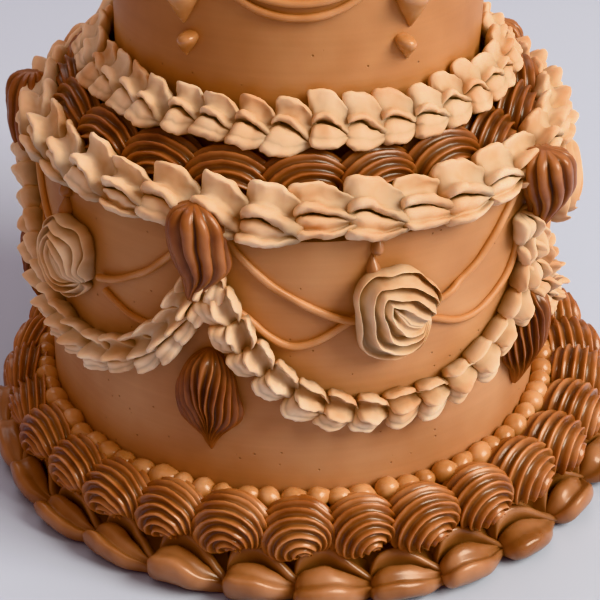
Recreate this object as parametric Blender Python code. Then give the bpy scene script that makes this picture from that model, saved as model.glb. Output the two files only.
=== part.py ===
"""Two-tier layer cake with piped borders, swags, shells and rosettes.

Metres, +Z up. The origin is the centre of the underside. Azimuths are in degrees from the
front (-Y), positive towards +X.
"""

import math

import bmesh
import bpy

# Tiers
LOWER_RADIUS = 0.105
LOWER_HEIGHT = 0.1455
UPPER_RADIUS = 0.0728
UPPER_HEIGHT = 0.1230
RIM_BEVEL = 0.0010
LOWER_SIDES = 50
UPPER_SIDES = 40

# Gap between two pieces that rest on each other, and the clearance that piped rings keep
GAP = 0.0003
CLEAR = 0.0005

# Swags: five round the lower tier, each with a rosette in its middle
SWAG_COUNT = 5
SWAG_SPAN = 360.0 / SWAG_COUNT
ROSETTE_AZIMUTH = 19.8
SHELL_AZIMUTH = ROSETTE_AZIMUTH - SWAG_SPAN / 2

# How a piped unit swells and tapers: (share of its length, share of its size)
SHELL_SWELL = ((0.05, 0.90), (0.42, 1.0), (0.90, 0.66))
RUFFLE_SWELL = ((0.08, 1.0), (0.88, 0.66))
PETAL_SWELL = ((0.12, 1.0), (0.85, 0.955))
PEARL_SWELL = ((0.0, 1.0), (0.5, 0.54))

# Base border: petals on the ground, shells on the petals, pearls between shells and wall
PETAL_COUNT = 28
PETAL_TOP = 0.0113
PETAL_REACH = 0.1445
PETAL_LIP_HEIGHT = 0.0150
PETAL_LIP_INSET = 0.0055
PETAL_REST_RADIUS = 0.1320
PETAL_REST_SLOPE = 0.22
BASE_SHELL_COUNT = 30
BASE_SHELL_CENTRE = (0.1232, 0.0242)
BASE_SHELL_WIDTH = 0.0260
BASE_SHELL_HEIGHT = 0.0285
BASE_SHELL_RIDGE = 0.12
BASE_SHELL_SHOULDER = 0.0215
PEARL_COUNT = 75
PEARL_DIAMETER = 0.0084
PEARL_CENTRE = (0.1100, 0.0306)
PEARL_SEAT_DROP = 0.0069

# Ledge between the tiers
LEDGE_SHELL_COUNT = 20
LEDGE_SHELL_CENTRE = (0.0862, 0.1588)
LEDGE_SHELL_WIDTH = 0.0250
LEDGE_SHELL_HEIGHT = 0.0270
LEDGE_SHELL_RIDGE = 0.13
LEDGE_SHELL_SHOULDER = 0.1650
LEDGE_SHELL_FOOT = 0.0945
LEDGE_REST_RADIUS = 0.0985
LEDGE_REST_SLOPE = 0.36
RIM_RUFFLE_COUNT = 35
RIM_RUFFLE_CENTRE = (0.1040, 0.1570)
RIM_RUFFLE_WIDTH = 0.0245
RIM_RUFFLE_HEIGHT = 0.0195
COLLAR_COUNT = 38
COLLAR_CENTRE = (0.0812, 0.1806)
COLLAR_WIDTH = 0.0200
COLLAR_THICKNESS = 0.0085
COLLAR_SLOPE = math.radians(-42.0)
COLLAR_REST_HEIGHT = 0.1765
COLLAR_REST_SLOPE = 0.40
TOP_RUFFLE_COUNT = 24
TOP_RUFFLE_WIDTH = 0.0215
TOP_RUFFLE_HEIGHT = 0.0185
TOP_RUFFLE_INSET = 0.0020
TOP_RUFFLE_LIFT = 0.0085

# Swag ruffle: its path sags from the shells to its lowest point under the rosette
SWAG_LOW = 0.0722
SWAG_RISE = 0.0540
SWAG_POWER = 3.1
SWAG_UNITS = 15
SWAG_WIDTH = 0.0142
SWAG_DEPTH = 0.0066
SWAG_END = 0.915

# Strings on the walls
STRING_DIAMETER = 0.0031
SHALLOW_LOW = 0.1112
SHALLOW_RISE = 0.0400
DEEP_LOW = 0.1010
DEEP_LOW_OFFSET = 20.0
DEEP_SAG = 0.0075
SHALLOW_OFFSETS = (10.2, 28.8)
DEEP_OFFSETS = (9.8, 31.0)
UPPER_STRING_LOWS = (0.2184, 0.2238)
UPPER_STRING_TOP = 0.2440
UPPER_STRING_POWER = 2.4
UPPER_STRING_MARGIN = 11.2

# Shells on the lower wall, and rosettes with the drops above them
SWAG_SHELL_TOP = 0.1640
SWAG_SHELL_TIP = 0.1225
SWAG_SHELL_WIDTH = 0.0232
SWAG_SHELL_DEPTH = 0.0120
LOW_SHELL_TOP = 0.0962
LOW_SHELL_TIP = 0.0515
LOW_SHELL_WIDTH = 0.0248
LOW_SHELL_DEPTH = 0.0112
ROSETTE_HEIGHT = 0.1155
ROSETTE_WIDTH = 0.0325
ROSETTE_TALL = 0.0385
ROSETTE_DEPTH = 0.0165
ROSETTE_RIDGES = 6
ROSETTE_TWIST = math.radians(34.0)
DROP_OFFSET = -3.0
DROP_TOP = 0.1470
DROP_BOTTOM = 0.1349
DROP_WIDTH = 0.0044

# Drop clusters on the upper wall
CLUSTER_AZIMUTHS = (-32.4, 32.4, 106.2, 180.0, -106.2)
CLUSTER_TOP = 0.2420
CLUSTER_TIP = 0.1988
CLUSTER_WIDTH = 0.0126
CLUSTER_DEPTH = 0.0066
SIDE_LOBE_TOP = 0.2380
SIDE_LOBE_TIP = 0.2140
SIDE_LOBE_WIDTH = 0.0082
SIDE_LOBE_ANGLE = 7.0

COLOURS = {
    "tier_icing": (0.39, 0.165, 0.078),
    "pale_icing": (0.62, 0.36, 0.185),
    "dark_icing": (0.20, 0.070, 0.022),
    "pearl_icing": (0.40, 0.165, 0.072),
    "petal_icing": (0.30, 0.115, 0.045),
}
ROUGHNESS = {
    "tier_icing": 0.55,
    "pale_icing": 0.60,
    "dark_icing": 0.35,
    "pearl_icing": 0.38,
    "petal_icing": 0.42,
}


def clear_scene():
    for item in list(bpy.data.objects):
        bpy.data.objects.remove(item, do_unlink=True)


def make_material(name):
    material = bpy.data.materials.new(name)
    material.use_nodes = True
    shader = material.node_tree.nodes["Principled BSDF"]
    shader.inputs["Base Color"].default_value = (*COLOURS[name], 1.0)
    shader.inputs["Roughness"].default_value = ROUGHNESS[name]
    shader.inputs["Metallic"].default_value = 0.0
    return material


def point_at(azimuth, radius, height):
    """Point on the cake's cylinder of the given radius."""
    angle = math.radians(azimuth)
    return (radius * math.sin(angle), -radius * math.cos(angle), height)


def blend(low, high, share):
    return low + (high - low) * share


def add_object(name, mesh, material, parent, azimuth=0.0):
    """Object with the mesh, turned about the cake's axis to the azimuth."""
    if not mesh.materials:
        mesh.materials.append(material)
    item = bpy.data.objects.new(name, mesh)
    item.rotation_euler.z = math.radians(azimuth)
    item.parent = parent
    bpy.context.scene.collection.objects.link(item)
    return item


def finish_mesh(bm, name):
    bmesh.ops.recalc_face_normals(bm, faces=bm.faces)
    mesh = bpy.data.meshes.new(name)
    bm.to_mesh(mesh)
    bm.free()
    mesh.shade_smooth()
    mesh.set_sharp_from_angle(angle=math.radians(50.0))
    return mesh


def loft(name, sections, closed=False, start=None, end=None):
    """Skin over sections of equal point count: a closed ring, or capped by a face or a point."""
    bm = bmesh.new()
    rows = [[bm.verts.new(point) for point in section] for section in sections]
    count = len(rows[0])
    pairs = list(zip(rows, rows[1:]))
    if closed:
        pairs.append((rows[-1], rows[0]))
    for near, far in pairs:
        for i in range(count):
            j = (i + 1) % count
            bm.faces.new((near[i], near[j], far[j], far[i]))
    if not closed:
        for row, pole in ((rows[0], start), (rows[-1], end)):
            if pole is None:
                bm.faces.new(row)
                continue
            tip = bm.verts.new(pole)
            for i in range(count):
                bm.faces.new((row[i], row[(i + 1) % count], tip))
    return finish_mesh(bm, name)


def tier_mesh(name, radius, base, height, sides):
    """Iced drum with a crisp top rim."""
    bm = bmesh.new()
    bmesh.ops.create_cone(
        bm, cap_ends=True, segments=sides, radius1=radius, radius2=radius, depth=height
    )
    bmesh.ops.translate(bm, vec=(0.0, 0.0, base + height / 2), verts=bm.verts)
    top = base + height - GAP
    rim = [e for e in bm.edges if all(v.co.z > top for v in e.verts)]
    bmesh.ops.bevel(bm, geom=rim, offset=RIM_BEVEL, segments=1, affect="EDGES")
    return finish_mesh(bm, name)


def piped_ring(name, count, swell, section, keep):
    """Border of equal piped units: a section of (radius, height) points at each swell."""
    sections = []
    for unit in range(count):
        for phase, size in swell:
            azimuth = 360.0 * (unit + phase) / count
            sections.append([point_at(azimuth, *keep(*point)) for point in section(size)])
    return loft(name, sections, closed=True)


def ridged_oval(centre, half_width, half_height, angles, ridge):
    """Oval section whose points stand in turn on a ridge and in a groove."""
    points = []
    for i, angle in enumerate(angles):
        size = 1.0 if i % 2 else 1.0 - ridge
        turn = math.radians(angle)
        radius = centre[0] + half_width * size * math.cos(turn)
        points.append((radius, centre[1] + half_height * size * math.sin(turn)))
    return points


def spread(first, last, count):
    return [blend(first, last, i / (count - 1)) for i in range(count)]


def petal_limit(radius):
    """Height of the surface between the petals and the shells that lie on them."""
    return PETAL_TOP + PETAL_REST_SLOPE * max(0.0, radius - PETAL_REST_RADIUS)


def pearl_seat(radius):
    """Height of the slope between the pearls and the shells under them."""
    return radius - PEARL_CENTRE[0] + PEARL_CENTRE[1] - PEARL_SEAT_DROP


def ledge_limit(height):
    """Radius of the slope between the ledge shells and the rim ruffle."""
    return LEDGE_REST_RADIUS - LEDGE_REST_SLOPE * (height - LOWER_HEIGHT)


def collar_limit(radius):
    """Height of the slope between the ledge shells and the collar ruffle on them."""
    return COLLAR_REST_HEIGHT - COLLAR_REST_SLOPE * (radius - UPPER_RADIUS)


def base_petals():
    """Overlapping lobes lying on the ground, each swelling and then tucked under the next."""

    def section(size):
        reach = size * PETAL_REACH
        lip = PETAL_LIP_HEIGHT * size
        inner = LOWER_RADIUS + 2 * CLEAR
        return [
            (inner, 0.0),
            (inner, PETAL_TOP),
            (reach - 2.7 * PETAL_LIP_INSET, PETAL_TOP),
            (reach - PETAL_LIP_INSET, lip),
            (reach, 0.4 * lip),
            (reach - 0.7 * PETAL_LIP_INSET, 0.0),
        ]

    def keep(radius, height):
        return radius, min(height, petal_limit(radius) - GAP / 2)

    return piped_ring("base_petals", PETAL_COUNT, PETAL_SWELL, section, keep)


def base_shells():
    """Fat ribbed shells piped round the foot, each tapering over the start of the next."""
    angles = spread(-70.0, 150.0, 10)
    inner = LOWER_RADIUS + CLEAR

    def section(size):
        half_width = size * BASE_SHELL_WIDTH / 2
        half_height = size * BASE_SHELL_HEIGHT / 2
        points = ridged_oval(
            BASE_SHELL_CENTRE, half_width, half_height, angles, BASE_SHELL_RIDGE
        )
        return points + [(inner, BASE_SHELL_SHOULDER), (inner, PETAL_TOP)]

    def keep(radius, height):
        height = max(height, petal_limit(radius) + GAP)
        return radius, min(height, pearl_seat(radius) - CLEAR)

    return piped_ring("base_shells", BASE_SHELL_COUNT, SHELL_SWELL, section, keep)


def pearl_border():
    """String of touching beads along the foot of the wall."""
    angles = (45.0, 135.0, 225.0, 315.0)

    def section(size):
        half = size * PEARL_DIAMETER / 2
        return ridged_oval(PEARL_CENTRE, half, half, angles, 0.0)

    def keep(radius, height):
        return max(radius, LOWER_RADIUS + CLEAR), height

    return piped_ring("pearl_border", PEARL_COUNT, PEARL_SWELL, section, keep)


def ledge_shells():
    """Tall ribbed shells standing on the ledge against the upper tier."""
    angles = spread(-40.0, 140.0, 8)
    inner = UPPER_RADIUS + CLEAR
    floor = LOWER_HEIGHT + GAP

    def section(size):
        half_width = size * LEDGE_SHELL_WIDTH / 2
        half_height = size * LEDGE_SHELL_HEIGHT / 2
        points = ridged_oval(
            LEDGE_SHELL_CENTRE, half_width, half_height, angles, LEDGE_SHELL_RIDGE
        )
        return points + [(inner, LEDGE_SHELL_SHOULDER), (inner, floor), (LEDGE_SHELL_FOOT, floor)]

    def keep(radius, height):
        height = max(min(height, collar_limit(radius) - GAP), floor)
        return max(min(radius, ledge_limit(height) - GAP), inner), height

    return piped_ring("ledge_shells", LEDGE_SHELL_COUNT, SHELL_SWELL, section, keep)


def rim_ruffle():
    """Pale ruffle lying over the rim, pressed back where a swag shell hangs over it."""
    angles = (15.0, 65.0, 115.0, 165.0, 225.0, 315.0)
    unit_span = 360.0 / RIM_RUFFLE_COUNT
    shell_reach = math.degrees(0.56 * SWAG_SHELL_WIDTH / LOWER_RADIUS)
    sections = []
    for unit in range(RIM_RUFFLE_COUNT):
        for phase, size in RUFFLE_SWELL:
            offset = (unit + phase - 0.5) * unit_span
            from_shell = (offset + SWAG_SPAN / 2) % SWAG_SPAN - SWAG_SPAN / 2
            outer = LOWER_RADIUS - CLEAR if abs(from_shell) < shell_reach else 1.0
            half_width = size * RIM_RUFFLE_WIDTH / 2
            half_height = size * RIM_RUFFLE_HEIGHT / 2
            section = []
            for radius, height in ridged_oval(
                RIM_RUFFLE_CENTRE, half_width, half_height, angles, 0.0
            ):
                radius = min(max(radius, ledge_limit(height) + CLEAR), outer)
                height = max(height, LOWER_HEIGHT + GAP)
                section.append(point_at(SHELL_AZIMUTH + offset, radius, height))
            sections.append(section)
    return loft("rim_ruffle", sections, closed=True)


def collar_ruffle():
    """Pale ruffle leaning on the upper tier's foot, on top of the ledge shells."""
    angles = (0.0, 60.0, 120.0, 180.0, 270.0)

    def section(size):
        flat = ridged_oval(
            (0.0, 0.0), size * COLLAR_WIDTH / 2, size * COLLAR_THICKNESS / 2, angles, 0.0
        )
        cosine = math.cos(COLLAR_SLOPE)
        sine = math.sin(COLLAR_SLOPE)
        turned = []
        for along, up in flat:
            radius = COLLAR_CENTRE[0] + along * cosine - up * sine
            turned.append((radius, COLLAR_CENTRE[1] + along * sine + up * cosine))
        return turned

    def keep(radius, height):
        radius = max(radius, UPPER_RADIUS + CLEAR)
        return radius, max(height, collar_limit(radius) + GAP)

    return piped_ring("collar_ruffle", COLLAR_COUNT, RUFFLE_SWELL, section, keep)


def top_ruffle():
    """Pale ruffle round the top edge of the upper tier."""
    angles = (10.0, 60.0, 120.0, 170.0, 270.0)
    top = LOWER_HEIGHT + GAP + UPPER_HEIGHT
    centre = (UPPER_RADIUS - TOP_RUFFLE_INSET, top + TOP_RUFFLE_LIFT)

    def section(size):
        half_width = size * TOP_RUFFLE_WIDTH / 2
        half_height = size * TOP_RUFFLE_HEIGHT / 2
        return ridged_oval(centre, half_width, half_height, angles, 0.0)

    def keep(radius, height):
        return radius, max(height, top + GAP)

    return piped_ring("top_ruffle", TOP_RUFFLE_COUNT, RUFFLE_SWELL, section, keep)


def swag_height(share):
    """Height of the swag ruffle's middle line at -1..1 of its half span."""
    return SWAG_LOW + SWAG_RISE * abs(share) ** SWAG_POWER


def swag_slope(share):
    """Rise of that line per metre along the wall."""
    arc = LOWER_RADIUS * math.radians(SWAG_SPAN / 2)
    steepness = SWAG_POWER * SWAG_RISE * abs(share) ** (SWAG_POWER - 1.0) / arc
    return math.copysign(steepness, share)


def swag_ruffle():
    """Ruffle hung on the wall from shell to shell, its middle under the rosette."""
    wall = LOWER_RADIUS + CLEAR
    lobes = ((-1.0, 0.0), (-0.72, 0.82), (0.0, 1.0), (0.72, 0.82), (1.0, 0.0))
    sections = []
    for unit in range(SWAG_UNITS):
        for phase, size in RUFFLE_SWELL:
            share = blend(-SWAG_END, SWAG_END, (unit + phase) / SWAG_UNITS)
            slope = math.atan(swag_slope(share))
            section = []
            for across, out in lobes:
                offset = across * size * SWAG_WIDTH / 2
                azimuth = share * SWAG_SPAN / 2
                azimuth -= math.degrees(offset * math.sin(slope) / LOWER_RADIUS)
                height = swag_height(share) + offset * math.cos(slope)
                section.append(point_at(azimuth, wall + out * size * SWAG_DEPTH, height))
            sections.append(section)
    return loft("swag_ruffle", sections)


def wall_shell(name, top, tip, width, depth, lean, ribs):
    """Shell piped down the wall: ribs fan out from its pointed tip over a round head."""
    wall = LOWER_RADIUS + CLEAR
    length = top - tip
    rows = ((0.07, 0.62, 0.62), (0.26, 0.98, 1.0), (0.55, 0.84, 0.80), (0.84, 0.34, 0.42))
    count = 2 * ribs + 1
    sections = []
    for share, wide, deep in rows:
        height = top - share * length
        section = []
        for i in range(count):
            turn = math.pi * i / (count - 1)
            size = 1.0 if i % 2 else 0.86
            across = -0.5 * wide * width * math.cos(turn) * (size if 0 < i < count - 1 else 1.0)
            out = wide * depth * deep * math.sin(turn) * size
            azimuth = math.degrees(across / LOWER_RADIUS)
            section.append(point_at(azimuth, wall + out, height))
        section.append(point_at(0.0, wall, height))
        sections.append(section)
    head = point_at(0.0, wall + lean, top)
    point = point_at(0.0, wall + 0.0006, tip)
    return loft(name, sections, start=head, end=point)


def rosette():
    """Swirled rosette: ridges wind outwards round a raised middle."""
    wall = LOWER_RADIUS + CLEAR
    count = 2 * ROSETTE_RIDGES
    rows = ((1.0, 0.10), (0.98, 0.42), (0.74, 0.80), (0.40, 0.97))
    sections = []
    for row, (size, out) in enumerate(rows):
        section = []
        for i in range(count):
            turn = 2.0 * math.pi * i / count - row * ROSETTE_TWIST
            ridge = 1.0 if i % 2 else 0.86
            across = 0.5 * size * ridge * ROSETTE_WIDTH * math.cos(turn)
            up = 0.5 * size * ridge * ROSETTE_TALL * math.sin(turn)
            lift = out * ROSETTE_DEPTH * (1.0 if i % 2 or row == 0 else 0.90)
            azimuth = math.degrees(across / LOWER_RADIUS)
            section.append(point_at(azimuth, wall + lift, ROSETTE_HEIGHT + up))
        sections.append(section)
    back = point_at(0.0, wall, ROSETTE_HEIGHT)
    front = point_at(0.0, wall + 0.92 * ROSETTE_DEPTH, ROSETTE_HEIGHT)
    return loft("rosette", sections, start=back, end=front)


def rosette_drops():
    """Two drops in line from the rim down to the rosette, joined by a thread."""
    wall = LOWER_RADIUS + CLEAR
    rows = ((0.10, 0.34), (0.38, 1.0), (0.54, 0.30), (0.84, 0.92))
    sections = []
    for share, size in rows:
        height = DROP_TOP - share * (DROP_TOP - DROP_BOTTOM)
        section = []
        for turn in (0.0, 60.0, 120.0, 180.0):
            angle = math.radians(turn)
            across = 0.5 * size * DROP_WIDTH * math.cos(angle)
            azimuth = DROP_OFFSET + math.degrees(across / LOWER_RADIUS)
            out = 0.75 * size * DROP_WIDTH * math.sin(angle)
            section.append(point_at(azimuth, wall + out, height))
        sections.append(section)
    head = point_at(DROP_OFFSET, wall + 0.0005, DROP_TOP)
    foot = point_at(DROP_OFFSET, wall + 0.0005, DROP_BOTTOM)
    return loft("rosette_drops", sections, start=head, end=foot)


def wall_drop(name, wall, top, tip, rows, width, depth, azimuth=0.0):
    """Teardrop hanging on a wall: rows give its share of the width down its length."""
    sections = []
    for share, size in rows:
        height = blend(top, tip, share)
        section = []
        for turn in (0.0, 45.0, 90.0, 135.0, 180.0):
            angle = math.radians(turn)
            across = 0.5 * size * width * math.cos(angle)
            place = azimuth + math.degrees(across / wall)
            section.append(point_at(place, wall + size * depth * math.sin(angle), height))
        sections.append(section)
    head = point_at(azimuth, wall + 0.0005, top)
    foot = point_at(azimuth, wall + 0.0005, tip)
    return loft(name, sections, start=head, end=foot)


def join_all(target, pieces):
    """Fuse loose pieces onto the target with one union, and drop them."""
    group = bpy.data.collections.new(target.name + "_pieces")
    bpy.context.scene.collection.children.link(group)
    for piece in pieces:
        bpy.context.scene.collection.objects.unlink(piece)
        group.objects.link(piece)
    union = target.modifiers.new("union", "BOOLEAN")
    union.operation = "UNION"
    union.solver = "MANIFOLD"
    union.operand_type = "COLLECTION"
    union.collection = group
    bpy.context.view_layer.update()
    graph = bpy.context.evaluated_depsgraph_get()
    joined = bpy.data.meshes.new_from_object(target.evaluated_get(graph))
    target.modifiers.remove(union)
    target.data = joined
    for piece in pieces:
        bpy.data.objects.remove(piece, do_unlink=True)
    bpy.data.collections.remove(group)


def string_mesh(name, path, wall):
    """Thin string half sunk in the wall along a path of (azimuth, height) points."""
    half = STRING_DIAMETER / 2
    sections = []
    for i, (azimuth, height) in enumerate(path):
        before = path[max(0, i - 1)]
        after = path[min(len(path) - 1, i + 1)]
        along = wall * math.radians(after[0] - before[0])
        slope = math.atan2(after[1] - before[1], along)
        section = []
        for turn in (0.0, 90.0, 180.0, 270.0):
            angle = math.radians(turn)
            offset = half * math.cos(angle)
            place = azimuth - math.degrees(offset * math.sin(slope) / wall)
            out = 1.1 * half * math.sin(angle) + 0.35 * half
            section.append(point_at(place, wall + out, height + offset * math.cos(slope)))
        sections.append(section)
    return loft(name, sections)


def shallow_path(side):
    """From the rosette's edge up to the shell's edge, as one parabola."""
    path = []
    for offset in spread(*SHALLOW_OFFSETS, 5):
        share = offset / (SWAG_SPAN / 2)
        path.append((side * offset, SHALLOW_LOW + SHALLOW_RISE * share * share))
    return path


def deep_path(side):
    """From the rosette's edge, sagging and then rising steeply beside the ruffle."""
    path = []
    for offset in spread(*DEEP_OFFSETS, 8):
        share = offset / (SWAG_SPAN / 2)
        sag = DEEP_LOW + DEEP_SAG * ((offset - DEEP_LOW_OFFSET) / 10.0) ** 2
        stretch = math.hypot(1.0, swag_slope(share))
        beside = swag_height(share) + stretch * (SWAG_WIDTH / 2 + STRING_DIAMETER)
        path.append((side * offset, max(sag, beside)))
    return path


def lower_strings(material, parent):
    pieces = []
    for swag in range(SWAG_COUNT):
        azimuth = ROSETTE_AZIMUTH + swag * SWAG_SPAN
        for side in (-1, 1):
            for path in (shallow_path(side), deep_path(side)):
                mesh = string_mesh("string", path, LOWER_RADIUS)
                pieces.append(add_object("string", mesh, material, parent, azimuth))
    return pieces


def upper_strings(material, parent):
    """Two festoons, one under the other, between neighbouring drop clusters."""
    pieces = []
    for i, start in enumerate(CLUSTER_AZIMUTHS):
        end = CLUSTER_AZIMUTHS[(i + 1) % len(CLUSTER_AZIMUTHS)]
        half_span = ((end - start) % 360.0) / 2
        reach = half_span - UPPER_STRING_MARGIN
        for low in UPPER_STRING_LOWS:
            path = []
            for offset in spread(-reach, reach, 6):
                share = abs(offset) / half_span
                path.append((offset, blend(low, UPPER_STRING_TOP, share ** UPPER_STRING_POWER)))
            mesh = string_mesh("string", path, UPPER_RADIUS)
            pieces.append(add_object("string", mesh, material, parent, start + half_span))
    return pieces


def drop_cluster(name, azimuth, material, parent):
    """Long drop with a bead at its tip and a small lobe at each side."""
    wall = UPPER_RADIUS + CLEAR
    rows = ((0.06, 0.55), (0.25, 0.95), (0.45, 1.0), (0.66, 0.52), (0.80, 0.20), (0.90, 0.56))
    main = wall_drop(
        name, wall, CLUSTER_TOP, CLUSTER_TIP, rows, CLUSTER_WIDTH, CLUSTER_DEPTH
    )
    cluster = add_object(name, main, material, parent, azimuth)
    lobes = []
    for side in (-1, 1):
        mesh = wall_drop(
            "lobe",
            wall,
            SIDE_LOBE_TOP,
            SIDE_LOBE_TIP,
            ((0.12, 0.70), (0.45, 1.0), (0.80, 0.45)),
            SIDE_LOBE_WIDTH,
            CLUSTER_DEPTH * 0.72,
            side * SIDE_LOBE_ANGLE,
        )
        lobes.append(add_object("lobe", mesh, material, parent, azimuth))
    join_all(cluster, lobes)


def build():
    clear_scene()
    icing = {name: make_material(name) for name in COLOURS}
    cake = bpy.data.objects.new("cake", None)
    bpy.context.scene.collection.objects.link(cake)

    drum = tier_mesh("lower_tier", LOWER_RADIUS, 0.0, LOWER_HEIGHT, LOWER_SIDES)
    lower = add_object("lower_tier", drum, icing["tier_icing"], cake)
    join_all(lower, lower_strings(icing["tier_icing"], cake))

    upper_base = LOWER_HEIGHT + GAP
    drum = tier_mesh("upper_tier", UPPER_RADIUS, upper_base, UPPER_HEIGHT, UPPER_SIDES)
    upper = add_object("upper_tier", drum, icing["tier_icing"], cake)
    join_all(upper, upper_strings(icing["tier_icing"], cake))

    add_object("base_petals", base_petals(), icing["petal_icing"], cake)
    add_object("base_shells", base_shells(), icing["dark_icing"], cake)
    add_object("pearl_border", pearl_border(), icing["pearl_icing"], cake)
    add_object("ledge_shells", ledge_shells(), icing["dark_icing"], cake)
    add_object("rim_ruffle", rim_ruffle(), icing["pale_icing"], cake)
    add_object("collar_ruffle", collar_ruffle(), icing["pale_icing"], cake)
    add_object("top_ruffle", top_ruffle(), icing["pale_icing"], cake)

    repeated = (
        ("swag_ruffle", swag_ruffle(), "pale_icing", ROSETTE_AZIMUTH),
        ("rosette", rosette(), "pale_icing", ROSETTE_AZIMUTH),
        ("rosette_drops", rosette_drops(), "pearl_icing", ROSETTE_AZIMUTH),
        (
            "swag_shell",
            wall_shell(
                "swag_shell",
                SWAG_SHELL_TOP,
                SWAG_SHELL_TIP,
                SWAG_SHELL_WIDTH,
                SWAG_SHELL_DEPTH,
                0.0035,
                5,
            ),
            "dark_icing",
            SHELL_AZIMUTH,
        ),
        (
            "low_shell",
            wall_shell(
                "low_shell",
                LOW_SHELL_TOP,
                LOW_SHELL_TIP,
                LOW_SHELL_WIDTH,
                LOW_SHELL_DEPTH,
                0.0030,
                5,
            ),
            "dark_icing",
            SHELL_AZIMUTH,
        ),
    )
    for name, mesh, slot, azimuth in repeated:
        for swag in range(SWAG_COUNT):
            place = azimuth + swag * SWAG_SPAN
            add_object(f"{name}_{swag + 1}", mesh, icing[slot], cake, place)

    for i, azimuth in enumerate(CLUSTER_AZIMUTHS):
        drop_cluster(f"drop_cluster_{i + 1}", azimuth, icing["pearl_icing"], cake)


build()
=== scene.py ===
import bmesh
import bpy
import math
import random
from mathutils import Matrix, Vector


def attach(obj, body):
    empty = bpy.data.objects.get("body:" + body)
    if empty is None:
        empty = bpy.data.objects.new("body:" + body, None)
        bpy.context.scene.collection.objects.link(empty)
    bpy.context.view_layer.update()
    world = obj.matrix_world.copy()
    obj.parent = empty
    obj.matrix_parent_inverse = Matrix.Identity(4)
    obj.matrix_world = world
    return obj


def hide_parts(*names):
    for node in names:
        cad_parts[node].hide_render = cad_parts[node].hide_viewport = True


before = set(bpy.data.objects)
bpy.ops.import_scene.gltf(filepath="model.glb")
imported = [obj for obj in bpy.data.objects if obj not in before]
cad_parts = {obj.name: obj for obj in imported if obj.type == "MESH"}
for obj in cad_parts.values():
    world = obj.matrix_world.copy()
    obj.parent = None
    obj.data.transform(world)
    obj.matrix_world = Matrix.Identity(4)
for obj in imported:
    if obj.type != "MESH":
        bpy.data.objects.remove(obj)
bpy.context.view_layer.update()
scene = bpy.context.scene
random.seed(27)


# the camera, placed as the cake was photographed
view = {
    "place": (0.00252, -0.6489, 0.45297),
    "target": (0.00252, 0.0, 0.05691),
    "lens": 104.1,
    "sensor": 36.0,
    "roll": 0.84,  # degrees
}


def addCamera():
    bpy.ops.object.camera_add(location=view["place"])
    camera = bpy.context.object
    camera.name = "photoCamera"
    look = Vector(view["target"]) - Vector(view["place"])
    level = look.to_track_quat("-Z", "Y").to_matrix().to_4x4()
    roll = Matrix.Rotation(math.radians(view["roll"]), 4, "Z")
    camera.matrix_world = Matrix.Translation(view["place"]) @ level @ roll
    camera.data.lens = view["lens"]
    camera.data.sensor_width = view["sensor"]
    camera.data.dof.use_dof = False
    scene.camera = camera


addCamera()
print("camera placed")


# small helpers
def linear(hexColour):
    values = [int(hexColour[i:i + 2], 16) / 255 for i in (1, 3, 5)]
    return tuple(v / 12.92 if v <= 0.04045 else ((v + 0.055) / 1.055) ** 2.4 for v in values) + (1.0,)


def deselectAll():
    if bpy.context.object and bpy.context.object.mode != "OBJECT":
        bpy.ops.object.mode_set(mode="OBJECT")
    bpy.ops.object.select_all(action="DESELECT")


def pick(piece):
    deselectAll()
    piece.select_set(True)
    bpy.context.view_layer.objects.active = piece


def onCake(turn, radius, height):
    # turn in degrees, 0 towards the viewer and positive to the right
    angle = math.radians(turn)
    return Vector((radius * math.sin(angle), -radius * math.cos(angle), height))


def seat(turn, radius, height, slope, climb=0.0, spin=0.0):
    # a place on the cake: x runs along the band, y across it, z away from what it lies on
    # slope 0 lies on a level top, 90 hangs on the wall; climb tilts the run of a hanging band
    angle = math.radians(turn)
    radial = Vector((math.sin(angle), -math.cos(angle), 0))
    along = Vector((math.cos(angle), math.sin(angle), 0))
    rise = math.radians(slope)
    across = -radial * math.cos(rise) + Vector((0, 0, math.sin(rise)))
    out = radial * math.sin(rise) + Vector((0, 0, math.cos(rise)))
    place = Matrix((along, across, out)).transposed().to_4x4()
    place.translation = onCake(turn, radius, height)
    return place @ Matrix.Rotation(math.radians(climb + spin), 4, "Z")


def pipeStroke(name, rims, crests=None):
    # one stroke of the piping bag: the mouth of the tip is extruded from rim to rim
    # crests say how high a point of the mouth stands, 0 in a groove and 1 on a crest; the icing's colour is darkened by
    # them as painted shade
    deselectAll()
    bpy.ops.mesh.primitive_circle_add(vertices=len(rims[0]), radius=0.01, fill_type="NGON")
    piece = bpy.context.object
    piece.name = name
    bpy.ops.object.mode_set(mode="EDIT")
    bpy.ops.mesh.select_all(action="SELECT")
    for index, rim in enumerate(rims):
        if index:
            bpy.ops.mesh.extrude_region_move()
        mesh = bmesh.from_edit_mesh(piece.data)
        layer = mesh.verts.layers.float.get("crest") or mesh.verts.layers.float.new("crest")
        mouth = next(face for face in mesh.faces if face.select)
        for spot, (corner, point) in enumerate(zip(mouth.verts, rim)):
            corner.co = point
            corner[layer] = crests[index][spot] if crests else 1.0
        bmesh.update_edit_mesh(piece.data)
    bpy.ops.mesh.select_all(action="SELECT")
    bpy.ops.mesh.normals_make_consistent(inside=False)
    bpy.ops.object.mode_set(mode="OBJECT")
    return piece


def soften(piece):
    # rounds the stroke as soft icing settles
    pick(piece)
    soft = piece.modifiers.new("soften", "SUBSURF")
    soft.levels = soft.render_levels = 1
    bpy.ops.object.modifier_apply(modifier=soft.name)
    bpy.ops.object.shade_smooth()
    return piece


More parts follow.
